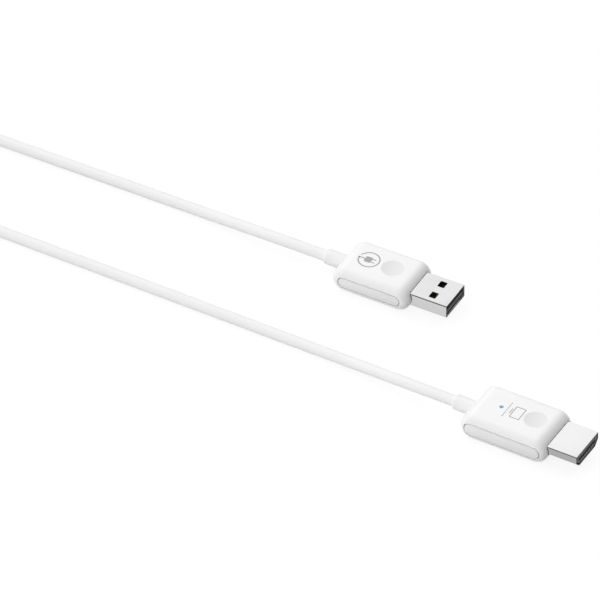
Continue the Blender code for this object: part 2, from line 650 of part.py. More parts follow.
def build():
    clear_scene()
    white = make_material("white_plastic", (0.90, 0.90, 0.90), 0.3)
    grey = make_material("pale_grey_plastic", (0.74, 0.74, 0.74), 0.35)
    metal = make_material("nickel_plate", (0.82, 0.82, 0.83), 0.25, 1.0)
    insulator = make_material("black_insulator", (0.03, 0.03, 0.03), 0.5)
    gold = make_material("gold_plate", (0.83, 0.66, 0.30), 0.3, 1.0)
    chip = make_material("chip_resin", (0.05, 0.05, 0.055), 0.55)
    looks = {
        "board": make_material("board_green", (0.04, 0.20, 0.10), 0.45),
        "lamp": make_material("blue_lens", (0.10, 0.35, 0.60), 0.2),
        "processor": chip,
        "memory": chip,
        "radio": metal,
        "clock": metal,
        "supply": make_material("ferrite", (0.16, 0.16, 0.16), 0.6),
        "capacitor": make_material("ceramic_tan", (0.55, 0.40, 0.26), 0.5),
        "supply_wire_positive": make_material("red_wire", (0.60, 0.05, 0.04), 0.45),
        "supply_wire_negative": make_material("black_wire", (0.03, 0.03, 0.03), 0.45),
    }
    soft_white = make_material("white_cord_jacket", (0.88, 0.88, 0.88), 0.45)

    receiver = add_empty("receiver")
    plan = HousingPlan(RECEIVER_LENGTH, RECEIVER_WIDTH, RECEIVER_HEIGHT, RECEIVER_EDGE,
                       RECEIVER_END_WALL, VIDEO_REACH)
    inlay = (RECEIVER_INLAY_LENGTH, RECEIVER_INLAY_HEIGHT)
    shell = add_housing("receiver_housing", plan, video_corners(plan.axis), inlay,
                        RECEIVER_DIMPLE_SETBACK, receiver, white, (("_tail_room", tail_room(plan)),))
    plate = add_base_plate("receiver_base_plate", plan, receiver, white)
    add_inlays("receiver", plan, inlay, receiver, grey)
    add_boot("receiver_cord_boot", plan, receiver, soft_white)
    board_front = add_board(plan, shell, plate, receiver, looks)
    add_video_plug(plan, board_front, receiver, metal, insulator, gold)

    power_end = add_empty("power_end", POWER_X, POWER_Y, POWER_TURN)
    plan = HousingPlan(POWER_LENGTH, POWER_WIDTH, POWER_HEIGHT, POWER_EDGE, POWER_END_WALL, POWER_REACH)
    inlay = (POWER_INLAY_LENGTH, POWER_INLAY_HEIGHT)
    add_housing("power_housing", plan, power_corners(plan.axis), inlay, POWER_DIMPLE_SETBACK,
                power_end, white)
    add_base_plate("power_base_plate", plan, power_end, white)
    add_inlays("power", plan, inlay, power_end, grey)
    add_boot("power_cord_boot", plan, power_end, soft_white)
    add_power_plug(plan, power_end, metal, insulator, gold)
    add_inner_mould(plan, power_end, soft_white)
    add_lead(soft_white)


build()
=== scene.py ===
import json
import math

import bmesh
import bpy
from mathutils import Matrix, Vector


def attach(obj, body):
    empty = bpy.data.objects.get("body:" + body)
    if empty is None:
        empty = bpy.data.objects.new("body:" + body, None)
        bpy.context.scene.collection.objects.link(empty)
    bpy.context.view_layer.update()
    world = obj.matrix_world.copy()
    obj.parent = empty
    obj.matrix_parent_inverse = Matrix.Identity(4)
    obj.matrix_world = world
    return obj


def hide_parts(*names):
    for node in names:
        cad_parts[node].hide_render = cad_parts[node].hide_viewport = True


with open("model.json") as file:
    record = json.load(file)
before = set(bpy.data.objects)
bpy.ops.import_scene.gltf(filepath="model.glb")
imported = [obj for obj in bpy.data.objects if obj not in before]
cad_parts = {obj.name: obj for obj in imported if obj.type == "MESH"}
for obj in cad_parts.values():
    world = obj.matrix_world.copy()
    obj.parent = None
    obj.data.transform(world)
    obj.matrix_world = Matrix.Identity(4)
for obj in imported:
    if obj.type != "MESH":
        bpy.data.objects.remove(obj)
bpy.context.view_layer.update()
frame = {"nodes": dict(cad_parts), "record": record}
mm = 0.001
print("frame loaded,", len(frame["nodes"]), "nodes")

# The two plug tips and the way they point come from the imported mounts
mountByName = {mount["name"]: mount for mount in frame["record"]["mounts"]}


def tipOf(mountName):
    mount = mountByName[mountName]
    x, y = mount["pos_m"][:2]
    return Vector((x, y, 0.0)), math.atan2(mount["axis"][1], mount["axis"][0])


# Sizes in millimetres. Each end is modelled with its plug's tip at x = 0 and the floor at z = 0
receiverEnd = {
    "name": "receiver", "tip": tipOf("video_plug_tip"), "reach": 9.7,
    "length": 30.3, "width": 18.9, "height": 9.1, "edge": 2.7,
    "stripLength": 25.85, "stripHeight": 4.1, "dimpleSetback": 8.45,
    "plugWidth": 13.9, "plugHeight": 4.45, "plugChamfer": 1.9, "sleeveLength": 16.85,
}
powerEnd = {
    "name": "power", "tip": tipOf("power_plug_tip"), "reach": 12.2,
    "length": 27.1, "width": 18.0, "height": 8.6, "edge": 2.7,
    "stripLength": 21.25, "stripHeight": 3.5, "dimpleSetback": 10.0,
    "plugWidth": 12.0, "plugHeight": 4.5, "plugChamfer": 0.0, "sleeveLength": 19.1,
}
gap = 0.15         # play round a fitted piece
stripGap = 0.31    # groove round a side strip
openingGap = 0.2   # groove round a plug
film = 0.1         # between two pieces that rest on each other
overcut = 1.0      # how far a cutter runs past the wall that it opens
weld = 0.002       # corners closer than this become one
touch = 0.01       # play in the tests that pick faces and edges by their place


# Hand tools

def deselectAll():
    bpy.ops.object.select_all(action="DESELECT")


def takeHold(piece):
    deselectAll()
    piece.select_set(True)
    bpy.context.view_layer.objects.active = piece


def addBlock(name, size, middle):
    deselectAll()
    bpy.ops.mesh.primitive_cube_add(size=1, location=[c * mm for c in middle])
    block = bpy.context.object
    block.name = name
    block.scale = [s * mm for s in size]
    bpy.ops.object.transform_apply(location=True, rotation=True, scale=True)
    return block


def addRod(name, radius, length, middle, alongX=False, sides=64):
    deselectAll()
    turn = (0, math.pi / 2, 0) if alongX else (0, 0, 0)
    bpy.ops.mesh.primitive_cylinder_add(vertices=sides, radius=radius * mm, depth=length * mm,
                                        location=[c * mm for c in middle], rotation=turn)
    rod = bpy.context.object
    rod.name = name
    bpy.ops.object.transform_apply(location=True, rotation=True, scale=True)
    return rod


# test gets the two ends of an edge, in millimetres
def selectEdges(piece, test):
    takeHold(piece)
    bpy.ops.object.mode_set(mode="EDIT")
    bpy.ops.mesh.select_mode(type="EDGE")
    bpy.ops.mesh.select_all(action="DESELECT")
    shape = bmesh.from_edit_mesh(piece.data)
    for edge in shape.edges:
        a, b = edge.verts[0].co / mm, edge.verts[1].co / mm
        edge.select_set(bool(test(a, b)))
    shape.select_flush_mode()
    bmesh.update_edit_mesh(piece.data)


# test gets the middle of a face, in millimetres, and its normal
def selectFaces(piece, test):
    takeHold(piece)
    bpy.ops.object.mode_set(mode="EDIT")
    bpy.ops.mesh.select_mode(type="FACE")
    bpy.ops.mesh.select_all(action="DESELECT")
    shape = bmesh.from_edit_mesh(piece.data)
    for face in shape.faces:
        face.select_set(bool(test(face.calc_center_median() / mm, face.normal)))
    shape.select_flush_mode()
    bmesh.update_edit_mesh(piece.data)


def leaveEdit():
    bpy.ops.object.mode_set(mode="OBJECT")


def bevelPicked(width, steps):
    bpy.ops.mesh.bevel(offset=width * mm, segments=steps, profile=0.5, affect="EDGES",
                       clamp_overlap=False)


def mergeClose():
    bpy.ops.mesh.select_all(action="SELECT")
    bpy.ops.mesh.remove_doubles(threshold=weld * mm)
    bpy.ops.mesh.normals_make_consistent(inside=False)
    leaveEdit()


def near(a, b):
    return abs(a - b) < 1e-3


def alongAxis(axis):
    others = [i for i in range(3) if i != axis]
    return lambda a, b: all(near(a[i], b[i]) for i in others) and not near(a[axis], b[axis])


def addPill(name, length, thickness, height, middle, steps=24):
    pill = addBlock(name, (length, thickness, height), middle)
    selectEdges(pill, alongAxis(1))
    bevelPicked(height / 2 - weld / 4, steps)    # the sliver that is left is welded
    mergeClose()
    return pill


def addRoundedBlock(name, size, middle, corner, steps=6):
    block = addBlock(name, size, middle)
    selectEdges(block, alongAxis(2))
    bevelPicked(corner, steps)
    leaveEdit()
    return block


def carve(piece, tool):
    takeHold(piece)
    modifier = piece.modifiers.new("carve", "BOOLEAN")
    modifier.operation = "DIFFERENCE"
    modifier.solver = "EXACT"
    modifier.object = tool
    bpy.ops.object.modifier_apply(modifier=modifier.name)
    bpy.data.objects.remove(tool, do_unlink=True)


def thicken(piece, thickness, offset):
    takeHold(piece)
    wall = piece.modifiers.new("wall", "SOLIDIFY")
    wall.thickness = thickness * mm
    wall.offset = offset
    wall.use_even_offset = True
    bpy.ops.object.modifier_apply(modifier=wall.name)


def copyOf(piece, name):
    twin = piece.copy()
    twin.data = piece.data.copy()
    twin.name = name
    bpy.context.scene.collection.objects.link(twin)
    return twin


def smoothOff(piece, degrees=30):
    takeHold(piece)
    bpy.ops.object.shade_smooth_by_angle(angle=math.radians(degrees))


# Puts a piece of one end in its place on the floor
def settle(piece, end):
    takeHold(piece)
    tip, turn = end["tip"]
    piece.location = tip
    piece.rotation_euler = (0, 0, turn)
    bpy.ops.object.transform_apply(location=True, rotation=True, scale=True)


def finishPiece(piece, end, finish, slot, *nodes):
    settle(piece, end)
    if not piece.data.materials:
        piece.data.materials.append(finish)
    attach(piece, "root")
    if nodes:
        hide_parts(*nodes)
    return piece


# Shader sums: a socket that can be added, multiplied and compared

class Sum:
    def __init__(self, tree, socket):
        self.tree = tree
        self.socket = socket

    def maths(self, operation, first, second):
        node = self.tree.nodes.new("ShaderNodeMath")
        node.operation = operation
        for socket, value in zip(node.inputs, (first, second)):
            connect(self.tree, value, socket)
        return Sum(self.tree, node.outputs[0])

    def __add__(self, other):
        return self.maths("ADD", self, other)

    def __radd__(self, other):
        return self.maths("ADD", other, self)

    def __sub__(self, other):
        return self.maths("SUBTRACT", self, other)

    def __rsub__(self, other):
        return self.maths("SUBTRACT", other, self)

    def __mul__(self, other):
        return self.maths("MULTIPLY", self, other)

    def __rmul__(self, other):
        return self.maths("MULTIPLY", other, self)

    def __pow__(self, other):
        return self.maths("POWER", self, other)

    def most(self, other):
        return self.maths("MAXIMUM", self, other)

    def least(self, other):
        return self.maths("MINIMUM", self, other)


def connect(tree, value, socket):
    if isinstance(value, Sum):
        tree.links.new(value.socket, socket)
    else:
        socket.default_value = (*value, 1.0) if socket.type == "RGBA" and len(value) == 3 else value


class Finish:
    def __init__(self, owner):
        self.owner = owner
        owner.use_nodes = True
        self.tree = owner.node_tree
        self.shader = self.tree.nodes.get("Principled BSDF")

    def node(self, kind, settings=None, out=0, **sockets):
        node = self.tree.nodes.new("ShaderNode" + kind)
        for key, value in (settings or {}).items():
            setattr(node, key, value)
        for key, value in sockets.items():
            wanted = key.replace("_", " ")
            socket = next(s for s in node.inputs if s.name == wanted and s.enabled)
            connect(self.tree, value, socket)
        return Sum(self.tree, node.outputs[out])

    def mix(self, factor, first, second):
        return self.node("Mix", {"data_type": "RGBA"}, 2, Factor=factor, A=first, B=second)

    def place(self, stretch=(1, 1, 1)):
        return self.node("Mapping", Vector=self.node("TexCoord", out=3), Scale=stretch)

    def noise(self, scale, detail=2.0, stretch=(1, 1, 1)):
        return self.node("TexNoise", Vector=self.place(stretch), Scale=scale, Detail=detail)

    def bump(self, height, strength, distance):
        return self.node("Bump", Height=height, Strength=strength, Distance=distance * mm)

    def parts(self, vector):
        split = self.node("SeparateXYZ", Vector=vector)
        return [Sum(self.tree, socket) for socket in split.socket.node.outputs]

    def set(self, **sockets):
        for key, value in sockets.items():
            connect(self.tree, value, self.shader.inputs[key.replace("_", " ")])
        return self.owner


def newFinish(name):
    return Finish(bpy.data.materials.new(name))


mouldedFacts = {"cloud": 90, "cloudDetail": 3, "roughSpread": 0.08, "coatRoughness": 0.15, "shine": 0.45}


def mouldedFinish(name, pale, deep, roughness, grain, coat=0.0):
    facts = mouldedFacts
    finish = newFinish(name)
    cloud = finish.noise(facts["cloud"], facts["cloudDetail"])
    skin = finish.noise(grain["scale"])
    return finish.set(Base_Color=finish.mix(cloud, pale, deep),
                      Roughness=roughness + facts["roughSpread"] * (cloud - 0.5),
                      Normal=finish.bump(skin, grain["strength"], grain["depth"]), Coat_Weight=coat,
                      Coat_Roughness=facts["coatRoughness"], Specular_IOR_Level=facts["shine"])


platedFacts = {"lines": 900, "cloud": 160, "lineSpread": 0.08, "cloudSpread": 0.05,
               "lineBump": 0.04, "lineDepth": 0.01, "shadeFade": 0.125}


# A plated sheet can have painted light on its sides: below a height, in millimetres, it takes another flat
# tone, darker on the video sleeve (painted shade) and a little lighter on the power sleeve
def platedFinish(name, pale, deep, roughness, stretch, sideShadeBelow=None):
    facts = platedFacts
    finish = newFinish(name)
    lines = finish.noise(facts["lines"], stretch=stretch)
    cloud = finish.noise(facts["cloud"])
    rough = roughness + facts["lineSpread"] * (lines - 0.5) + facts["cloudSpread"] * (cloud - 0.5)
    colour = finish.mix(cloud, pale, deep)
    # painted shade: below the given height the colour turns to the flat side tone
    if sideShadeBelow:
        height = finish.parts(finish.place())[2]
        slope = 1 / (facts["shadeFade"] * mm)
        share = ((sideShadeBelow["height"] * mm - height) * slope).least(1.0).most(0.0)
        colour = finish.mix(share, colour, (sideShadeBelow["tone"],) * 3)
    return finish.set(Base_Color=colour, Metallic=1.0, Roughness=rough,
                      Normal=finish.bump(lines, facts["lineBump"], facts["lineDepth"]))


fineGrain = {"scale": 6000, "strength": 0.06, "depth": 0.01}
softGrain = {"scale": 4500, "strength": 0.10, "depth": 0.01}
whiteGloss = mouldedFinish("whiteGloss", (0.89, 0.89, 0.89), (0.87, 0.87, 0.87), 0.30, fineGrain, 0.2)
# satin skin for the dimple; its darker base colour is painted shade
dimpleSatinShade = mouldedFinish("dimpleSatinShade", (0.80, 0.80, 0.80), (0.78, 0.78, 0.78), 0.48, softGrain)
greySatin = mouldedFinish("greySatin", (0.85, 0.85, 0.85), (0.83, 0.83, 0.83), 0.42, softGrain)
jacketWhite = mouldedFinish("jacketWhite", (0.89, 0.89, 0.89), (0.87, 0.87, 0.87), 0.45, softGrain)
bootWhite = mouldedFinish("bootWhite", (0.86, 0.86, 0.86), (0.84, 0.84, 0.84), 0.42, softGrain)
insulatorBlack = mouldedFinish("insulatorBlack", (0.045, 0.045, 0.047), (0.035, 0.035, 0.037), 0.45,
                               softGrain)
printGrey = mouldedFinish("printGrey", (0.40, 0.40, 0.41), (0.36, 0.36, 0.37), 0.5, fineGrain)
insulatorGrey = mouldedFinish("insulatorGrey", (0.085, 0.085, 0.085), (0.07, 0.07, 0.07), 0.5, softGrain)
# both sleeve finishes carry a painted side tone below the given height, standing for how the sides are lit
nickelPlate = platedFinish("nickelPlate", (0.57, 0.57, 0.575), (0.545, 0.545, 0.55), 0.20, (0.04, 1, 1),
                           {"height": 6.40, "tone": 0.62})
videoNickel = platedFinish("videoNickel", (0.63, 0.63, 0.635), (0.60, 0.60, 0.605), 0.20, (0.04, 1, 1),
                           {"height": 6.60, "tone": 0.42})
# painted dark reflection: a near-black plated finish for the sleeve tips
tipShadeSheet = platedFinish("tipShadeSheet", (0.07, 0.07, 0.07), (0.055, 0.055, 0.055), 0.45, (1, 1, 1))
contactNickel = platedFinish("contactNickel", (0.38, 0.38, 0.385), (0.34, 0.34, 0.345), 0.42, (0.05, 1, 1))
goldPlate = platedFinish("goldPlate", (0.83, 0.66, 0.32), (0.78, 0.60, 0.27), 0.28, (0.05, 1, 1))
print("finishes ready")


# Housings

shellSizes = {"roof": 1.2, "plate": 1.0, "plateInset": 0.6, "plateCorner": 1.6, "ledge": 0.8,
              "stripDepth": 0.95, "dimpleRadius": 3.65, "dimpleDepth": 0.35, "dimpleSide": 0.15,
              "bootRadius": 2.5, "bootSeat": 2.0, "neckRadius": 1.9, "boreLength": 8.0, "cavityFoot": 0.6,
              "dimplePocket": 1.0, "dimpleSides": 96, "dimpleRings": 12,
              "endSteps": 30, "edgeSteps": 10, "smoothAngle": 32}
lampSizes = {"setback": 20.4, "side": 0.2, "radius": 0.5, "foot": 5.75, "sides": 40,
             "bevel": 0.12, "bevelSteps": 4, "hole": 3.0, "holeSides": 32}
plugCorner = {"round": 0.35, "least": 0.1, "steps": 4}


def middleOf(end):
    return -(end["reach"] + end["length"] / 2)


def addSleeveTool(end, name, play, start, stop):
    width, height = end["plugWidth"] + 2 * play, end["plugHeight"] + 2 * play
    tool = addBlock(name, (stop - start, width, height), ((start + stop) / 2, 0, end["height"] / 2))
    low = end["height"] / 2 - height / 2
    if end["plugChamfer"]:
        selectEdges(tool, lambda a, b: alongAxis(0)(a, b) and near(a.z, low))
        bevelPicked(end["plugChamfer"], 1)
        leaveEdit()
    selectEdges(tool, alongAxis(0))
    bevelPicked(max(plugCorner["least"], plugCorner["round"] + play), plugCorner["steps"])
    leaveEdit()
    return tool


def dimplePlace(end):
    return Vector((-(end["reach"] + end["dimpleSetback"]), shellSizes["dimpleSide"], end["height"]))


# Picks the edges on the rim of an end's dimple
def onRim(end):
    centre, radius = dimplePlace(end), shellSizes["dimpleRadius"]

    def isOn(p):
        return near(p.z, centre.z) and abs((p.xy - centre.xy).length - radius) < touch / 2

    return lambda a, b: isOn(a) and isOn(b)


def sinkDimple(shell, end):
    sizes = shellSizes
    centre = dimplePlace(end)
    radius, depth, pocket = sizes["dimpleRadius"], sizes["dimpleDepth"], sizes["dimplePocket"]
    carve(shell, addRod("dimplePocket", radius, pocket, centre, sides=sizes["dimpleSides"]))

    def inPocket(middle, normal):
        flat = Vector((middle.x - centre.x, middle.y - centre.y))
        return flat.length < radius + touch and centre.z - pocket / 2 - film < middle.z < centre.z - touch

    selectFaces(shell, inPocket)
    bpy.ops.mesh.delete(type="FACE")
    leaveEdit()
    selectEdges(shell, onRim(end))
    rings = sizes["dimpleRings"]
    ball = (radius ** 2 + depth ** 2) / (2 * depth)
    before, sunk = 1.0, 0.0
    for ring in range(1, rings + 1):
        share = 1 - ring / (rings + 1)
        fall = depth - ball + math.sqrt(ball ** 2 - (share * radius) ** 2)
        bpy.ops.mesh.extrude_edges_move()
        bpy.ops.transform.resize(value=(share / before, share / before, 1), center_override=centre * mm)
        bpy.ops.transform.translate(value=(0, 0, -(fall - sunk) * mm))
        before, sunk = share, fall
    bpy.ops.mesh.edge_face_add()
    bpy.ops.mesh.select_all(action="SELECT")
    bpy.ops.mesh.normals_make_consistent(inside=False)
    leaveEdit()


def makeHousing(end):
    sizes = shellSizes
    middle, axis = middleOf(end), end["height"] / 2
    half = end["width"] / 2
    shell = addPill(end["name"] + "Housing", end["length"], end["width"], end["height"],
                    (middle, 0, axis), sizes["endSteps"])
    selectEdges(shell, lambda a, b: near(abs(a.y), half) and near(a.y, b.y))
    bevelPicked(end["edge"], sizes["edgeSteps"])
    mergeClose()
    sinkDimple(shell, end)
    for side in (-1, 1):
        depth = sizes["stripDepth"]
        tool = addPill("stripRecess", end["stripLength"] + 2 * stripGap, depth + overcut,
                       end["stripHeight"] + 2 * stripGap,
                       (middle, side * (half - depth / 2 + overcut / 2), axis))
        carve(shell, tool)
    plateLength = end["length"] - end["height"] - 2 * sizes["plateInset"]
    plateWidth = end["width"] - 2 * end["edge"] - 2 * sizes["plateInset"]
    pocketTop = sizes["plate"] + film
    carve(shell, addRoundedBlock("platePocket",
                                 (plateLength + 2 * gap, plateWidth + 2 * gap, pocketTop + overcut),
                                 (middle, 0, (pocketTop - overcut) / 2), sizes["plateCorner"]))
    foot, top = sizes["cavityFoot"], end["height"] - sizes["roof"]
    ledges = 2 * sizes["ledge"]
    carve(shell, addRoundedBlock("cavity", (plateLength - ledges, plateWidth - ledges, top - foot),
                                 (middle, 0, (top + foot) / 2), sizes["plateCorner"]))
    carve(shell, addSleeveTool(end, "plugOpening", openingGap, -end["sleeveLength"] - gap,
                               -end["reach"] + overcut))
    back = -(end["reach"] + end["length"])
    seat, bore = sizes["bootSeat"] + film, sizes["boreLength"]
    carve(shell, addRod("bootSeat", sizes["bootRadius"] + film, seat + overcut,
                        (back + (seat - overcut) / 2, 0, axis), True))
    carve(shell, addRod("bootBore", sizes["neckRadius"] + gap, bore, (back + bore / 2, 0, axis), True))
    return shell


receiverHousing = makeHousing(receiverEnd)
lampPlace = (-(receiverEnd["reach"] + lampSizes["setback"]), lampSizes["side"])
carve(receiverHousing, addRod("lampHole", lampSizes["radius"] + gap, lampSizes["hole"],
                              (*lampPlace, receiverEnd["height"]), sides=lampSizes["holeSides"]))
powerHousing = makeHousing(powerEnd)


# The dish has a crisp rim and a satin skin, whose darker base colour is painted shade in the hollow
def finishHousing(shell, end):
    smoothOff(shell, shellSizes["smoothAngle"])
    middle, high = dimplePlace(end), end["height"]
    radius, deep = shellSizes["dimpleRadius"], shellSizes["dimplePocket"] / 2
    selectEdges(shell, onRim(end))
    bpy.ops.mesh.mark_sharp()
    leaveEdit()
    shell.data.materials.append(whiteGloss)
    shell.data.materials.append(dimpleSatinShade)
    selectFaces(shell, lambda m, n: (m.xy - middle.xy).length < radius and high - deep < m.z < high - weld)
    shell.active_material_index = 1
    bpy.ops.object.material_slot_assign()
    leaveEdit()
    finishPiece(shell, end, whiteGloss, "white_plastic", end["name"] + "_housing")


finishHousing(receiverHousing, receiverEnd)
finishHousing(powerHousing, powerEnd)
print("housings ready")


# Side strips, cord boots and plug sleeves

stripSizes = {"thickness": 0.85, "endSteps": 30, "bevel": 0.05, "bevelSteps": 2}


def makeStrip(end, side, label):
    sizes = stripSizes
    thickness = sizes["thickness"]
    strip = addPill(end["name"] + "Strip" + label, end["stripLength"], thickness, end["stripHeight"],
                    (middleOf(end), side * (end["width"] - thickness) / 2, end["height"] / 2),
                    sizes["endSteps"])
    face = side * end["width"] / 2
    selectEdges(strip, lambda a, b: near(a.y, face) and near(b.y, face))
    bevelPicked(sizes["bevel"], sizes["bevelSteps"])
    leaveEdit()
    smoothOff(strip)
    return finishPiece(strip, end, greySatin, "grey_plastic", end["name"] + "_inlay_" + label.lower())


bootSizes = {"length": 5.8, "lip": 0.4, "round": 0.9, "roundSteps": 8, "flange": 0.8}


def makeBoot(end):
    sizes, boot = shellSizes, bootSizes
    back = -(end["reach"] + end["length"])
    outer, inner = back - boot["length"] - boot["lip"], back + sizes["bootSeat"]
    cavityBack = middleOf(end) - (end["length"] - end["height"]) / 2 + sizes["plateInset"] + sizes["ledge"]
    flangeBack = cavityBack + film
    piece = addRod(end["name"] + "Boot", sizes["bootRadius"], inner - outer,
                   ((outer + inner) / 2, 0, end["height"] / 2), True)
    selectEdges(piece, lambda a, b: near(a.x, outer) and near(b.x, outer))
    bevelPicked(boot["round"], boot["roundSteps"])
    leaveEdit()
    selectFaces(piece, lambda m, n: n.x > 0.99)
    share = sizes["neckRadius"] / sizes["bootRadius"]
    centre = Vector((inner, 0, end["height"] / 2)) * mm
    for scale, step in ((share, flangeBack - inner), (1 / share, boot["flange"])):
        bpy.ops.mesh.extrude_region_move()
        bpy.ops.transform.resize(value=(1, scale, scale), center_override=centre)
        bpy.ops.mesh.extrude_region_move()
        bpy.ops.transform.translate(value=(step * mm, 0, 0))
    leaveEdit()
    smoothOff(piece)
    return finishPiece(piece, end, bootWhite, "boot_rubber", end["name"] + "_cord_boot")


sleeveSizes = {"wall": 0.3, "seam": 0.14, "seamDepth": 0.3, "tipBevel": 0.07, "bevelSteps": 2,
               "tipShadeDepth": 0.1, "tipShadeFacing": 0.3, "windowLength": 2.3, "windowWidth": 2.7,
               "windowSpacing": 5.7, "windowSetback": 6.1, "windowRound": 0.3, "windowSteps": 3,
               "windowBevel": 0.08, "windowCut": 9.0}


def makeSleeve(end, name, finish, node):
    sizes = sleeveSizes
    axis, high = end["height"] / 2, end["height"] / 2 + end["plugHeight"] / 2
    sleeve = addSleeveTool(end, name, 0, -end["sleeveLength"], 0)
    selectFaces(sleeve, lambda m, n: abs(n.x) > 0.99)
    bpy.ops.mesh.delete(type="FACE")
    leaveEdit()
    thicken(sleeve, sizes["wall"], -1)
    if end is powerEnd:
        for side in (-1, 1):
            place = (-sizes["windowSetback"], side * sizes["windowSpacing"] / 2, axis)
            size = (sizes["windowLength"], sizes["windowWidth"], sizes["windowCut"])
            carve(sleeve, addRoundedBlock("window", size, place, sizes["windowRound"], sizes["windowSteps"]))

        def onWindow(p):
            inX = abs(p.x + sizes["windowSetback"]) < sizes["windowLength"] / 2 + touch
            inY = abs(abs(p.y) - sizes["windowSpacing"] / 2) < sizes["windowWidth"] / 2 + touch
            return near(p.z, high) and inX and inY

        selectEdges(sleeve, lambda a, b: onWindow(a) and onWindow(b))
        bevelPicked(sizes["windowBevel"], sizes["bevelSteps"])
        leaveEdit()
    # the folded sheet meets along the underside
    carve(sleeve, addBlock("seam", (end["sleeveLength"] + overcut, sizes["seam"], sizes["seamDepth"]),
                           (-end["sleeveLength"] / 2, 0, axis - end["plugHeight"] / 2)))
    selectFaces(sleeve, lambda m, n: n.x > 0.99 and near(m.x, 0))
    bpy.ops.mesh.region_to_loop()
    bevelPicked(sizes["tipBevel"], sizes["bevelSteps"])
    leaveEdit()
    smoothOff(sleeve)
    # painted dark reflection: the sleeve's faces at the tip are coloured near black to stand for the dark
    # surroundings they reflect
    sleeve.data.materials.append(finish)
    sleeve.data.materials.append(tipShadeSheet)
    selectFaces(sleeve, lambda m, n: n.x > sizes["tipShadeFacing"] and m.x > -sizes["tipShadeDepth"])
    sleeve.active_material_index = 1
    bpy.ops.object.material_slot_assign()
    leaveEdit()
    return finishPiece(sleeve, end, finish, "plug_metal", node)


for end in (receiverEnd, powerEnd):
    for side, label in ((-1, "Near"), (1, "Far")):
        makeStrip(end, side, label)
    makeBoot(end)
makeSleeve(receiverEnd, "videoSleeve", videoNickel, "video_plug_sleeve")
makeSleeve(powerEnd, "powerSleeve", nickelPlate, "power_plug_sleeve")
print("strips, boots and sleeves ready")


# Insulators and contacts

videoSizes = {"play": 0.45, "setback": 0.12, "slotWidth": 10.55, "slotHeight": 0.9,
              "rows": ((1, 10), (-1, 9)), "channelWidth": 0.56, "channelLow": 0.55, "channelHigh": 1.62,
              "springWidth": 0.45, "springThick": 0.2, "springLow": 0.65, "springFront": -0.22,
              "springRear": -18.7, "bump": 0.18, "bumpPlaces": (1.4, 2.2, 3.0, 3.8),
              "toothThick": 0.25, "toothRise": 0.7, "tipBevel": 0.04, "tipSteps": 2}


def contactPlaces():
    number = 1
    for row, count in videoSizes["rows"]:
        for i in range(count):
            yield number, row, i - (count - 1) / 2
            number += 1


def makeVideoBlock():
    end, sizes = receiverEnd, videoSizes
    axis = end["height"] / 2
    long, centre = end["sleeveLength"] + 2 * overcut, -end["sleeveLength"] / 2
    block = addSleeveTool(end, "videoBlock", -sizes["play"], -end["sleeveLength"], -sizes["setback"])
    carve(block, addBlock("slot", (long, sizes["slotWidth"], sizes["slotHeight"]), (centre, 0, axis)))
    low, high = sizes["channelLow"], sizes["channelHigh"]
    for _, row, y in contactPlaces():
        carve(block, addBlock("channel", (long, sizes["channelWidth"], high - low),
                              (centre, y, axis + row * (low + high) / 2)))
    smoothOff(block)
    return finishPiece(block, end, insulatorGrey, "black_insulator", "video_contact_block")


# One flat spring with a low bump and an upright tooth at its front end
def makeVideoContacts():
    end, sizes = receiverEnd, videoSizes
    axis = end["height"] / 2
    start, stop = sizes["springRear"], sizes["springFront"]
    spring = addBlock("videoContact", (stop - start, sizes["springWidth"], sizes["springThick"]),
                      ((start + stop) / 2, 0, sizes["springLow"] + sizes["springThick"] / 2))
    for back in (sizes["toothThick"], *sizes["bumpPlaces"]):
        selectFaces(spring, lambda m, n: True)
        bpy.ops.mesh.bisect(plane_co=((stop - back) * mm, 0, 0), plane_no=(1, 0, 0))
        leaveEdit()
    crest = sizes["bumpPlaces"][1:3]
    selectFaces(spring, lambda m, n: abs(n.x) < 0.1 and stop - crest[1] < m.x < stop - crest[0])
    bpy.ops.transform.translate(value=(0, 0, -sizes["bump"] * mm))
    leaveEdit()
    selectFaces(spring, lambda m, n: n.z > 0.9 and m.x > stop - sizes["toothThick"])
    bpy.ops.mesh.extrude_region_move()
    bpy.ops.transform.translate(value=(0, 0, sizes["toothRise"] * mm))
    leaveEdit()
    selectEdges(spring, lambda a, b: near(a.x, stop) and near(b.x, stop))
    bevelPicked(sizes["tipBevel"], sizes["tipSteps"])
    leaveEdit()
    for number, row, y in contactPlaces():
        contact = copyOf(spring, "videoContact%02d" % number)
        takeHold(contact)
        contact.location = (0, y * mm, axis * mm)
        contact.rotation_euler = (0 if row > 0 else math.pi, 0, 0)
        bpy.ops.object.transform_apply(location=True, rotation=True, scale=True)
        finishPiece(contact, end, contactNickel, "contact_nickel", "video_contact_%02d" % number)
    bpy.data.objects.remove(spring, do_unlink=True)


tongueSizes = {"setback": 0.45, "height": 1.85, "length": 9.4, "play": 0.45, "round": 0.15, "roundSteps": 3}


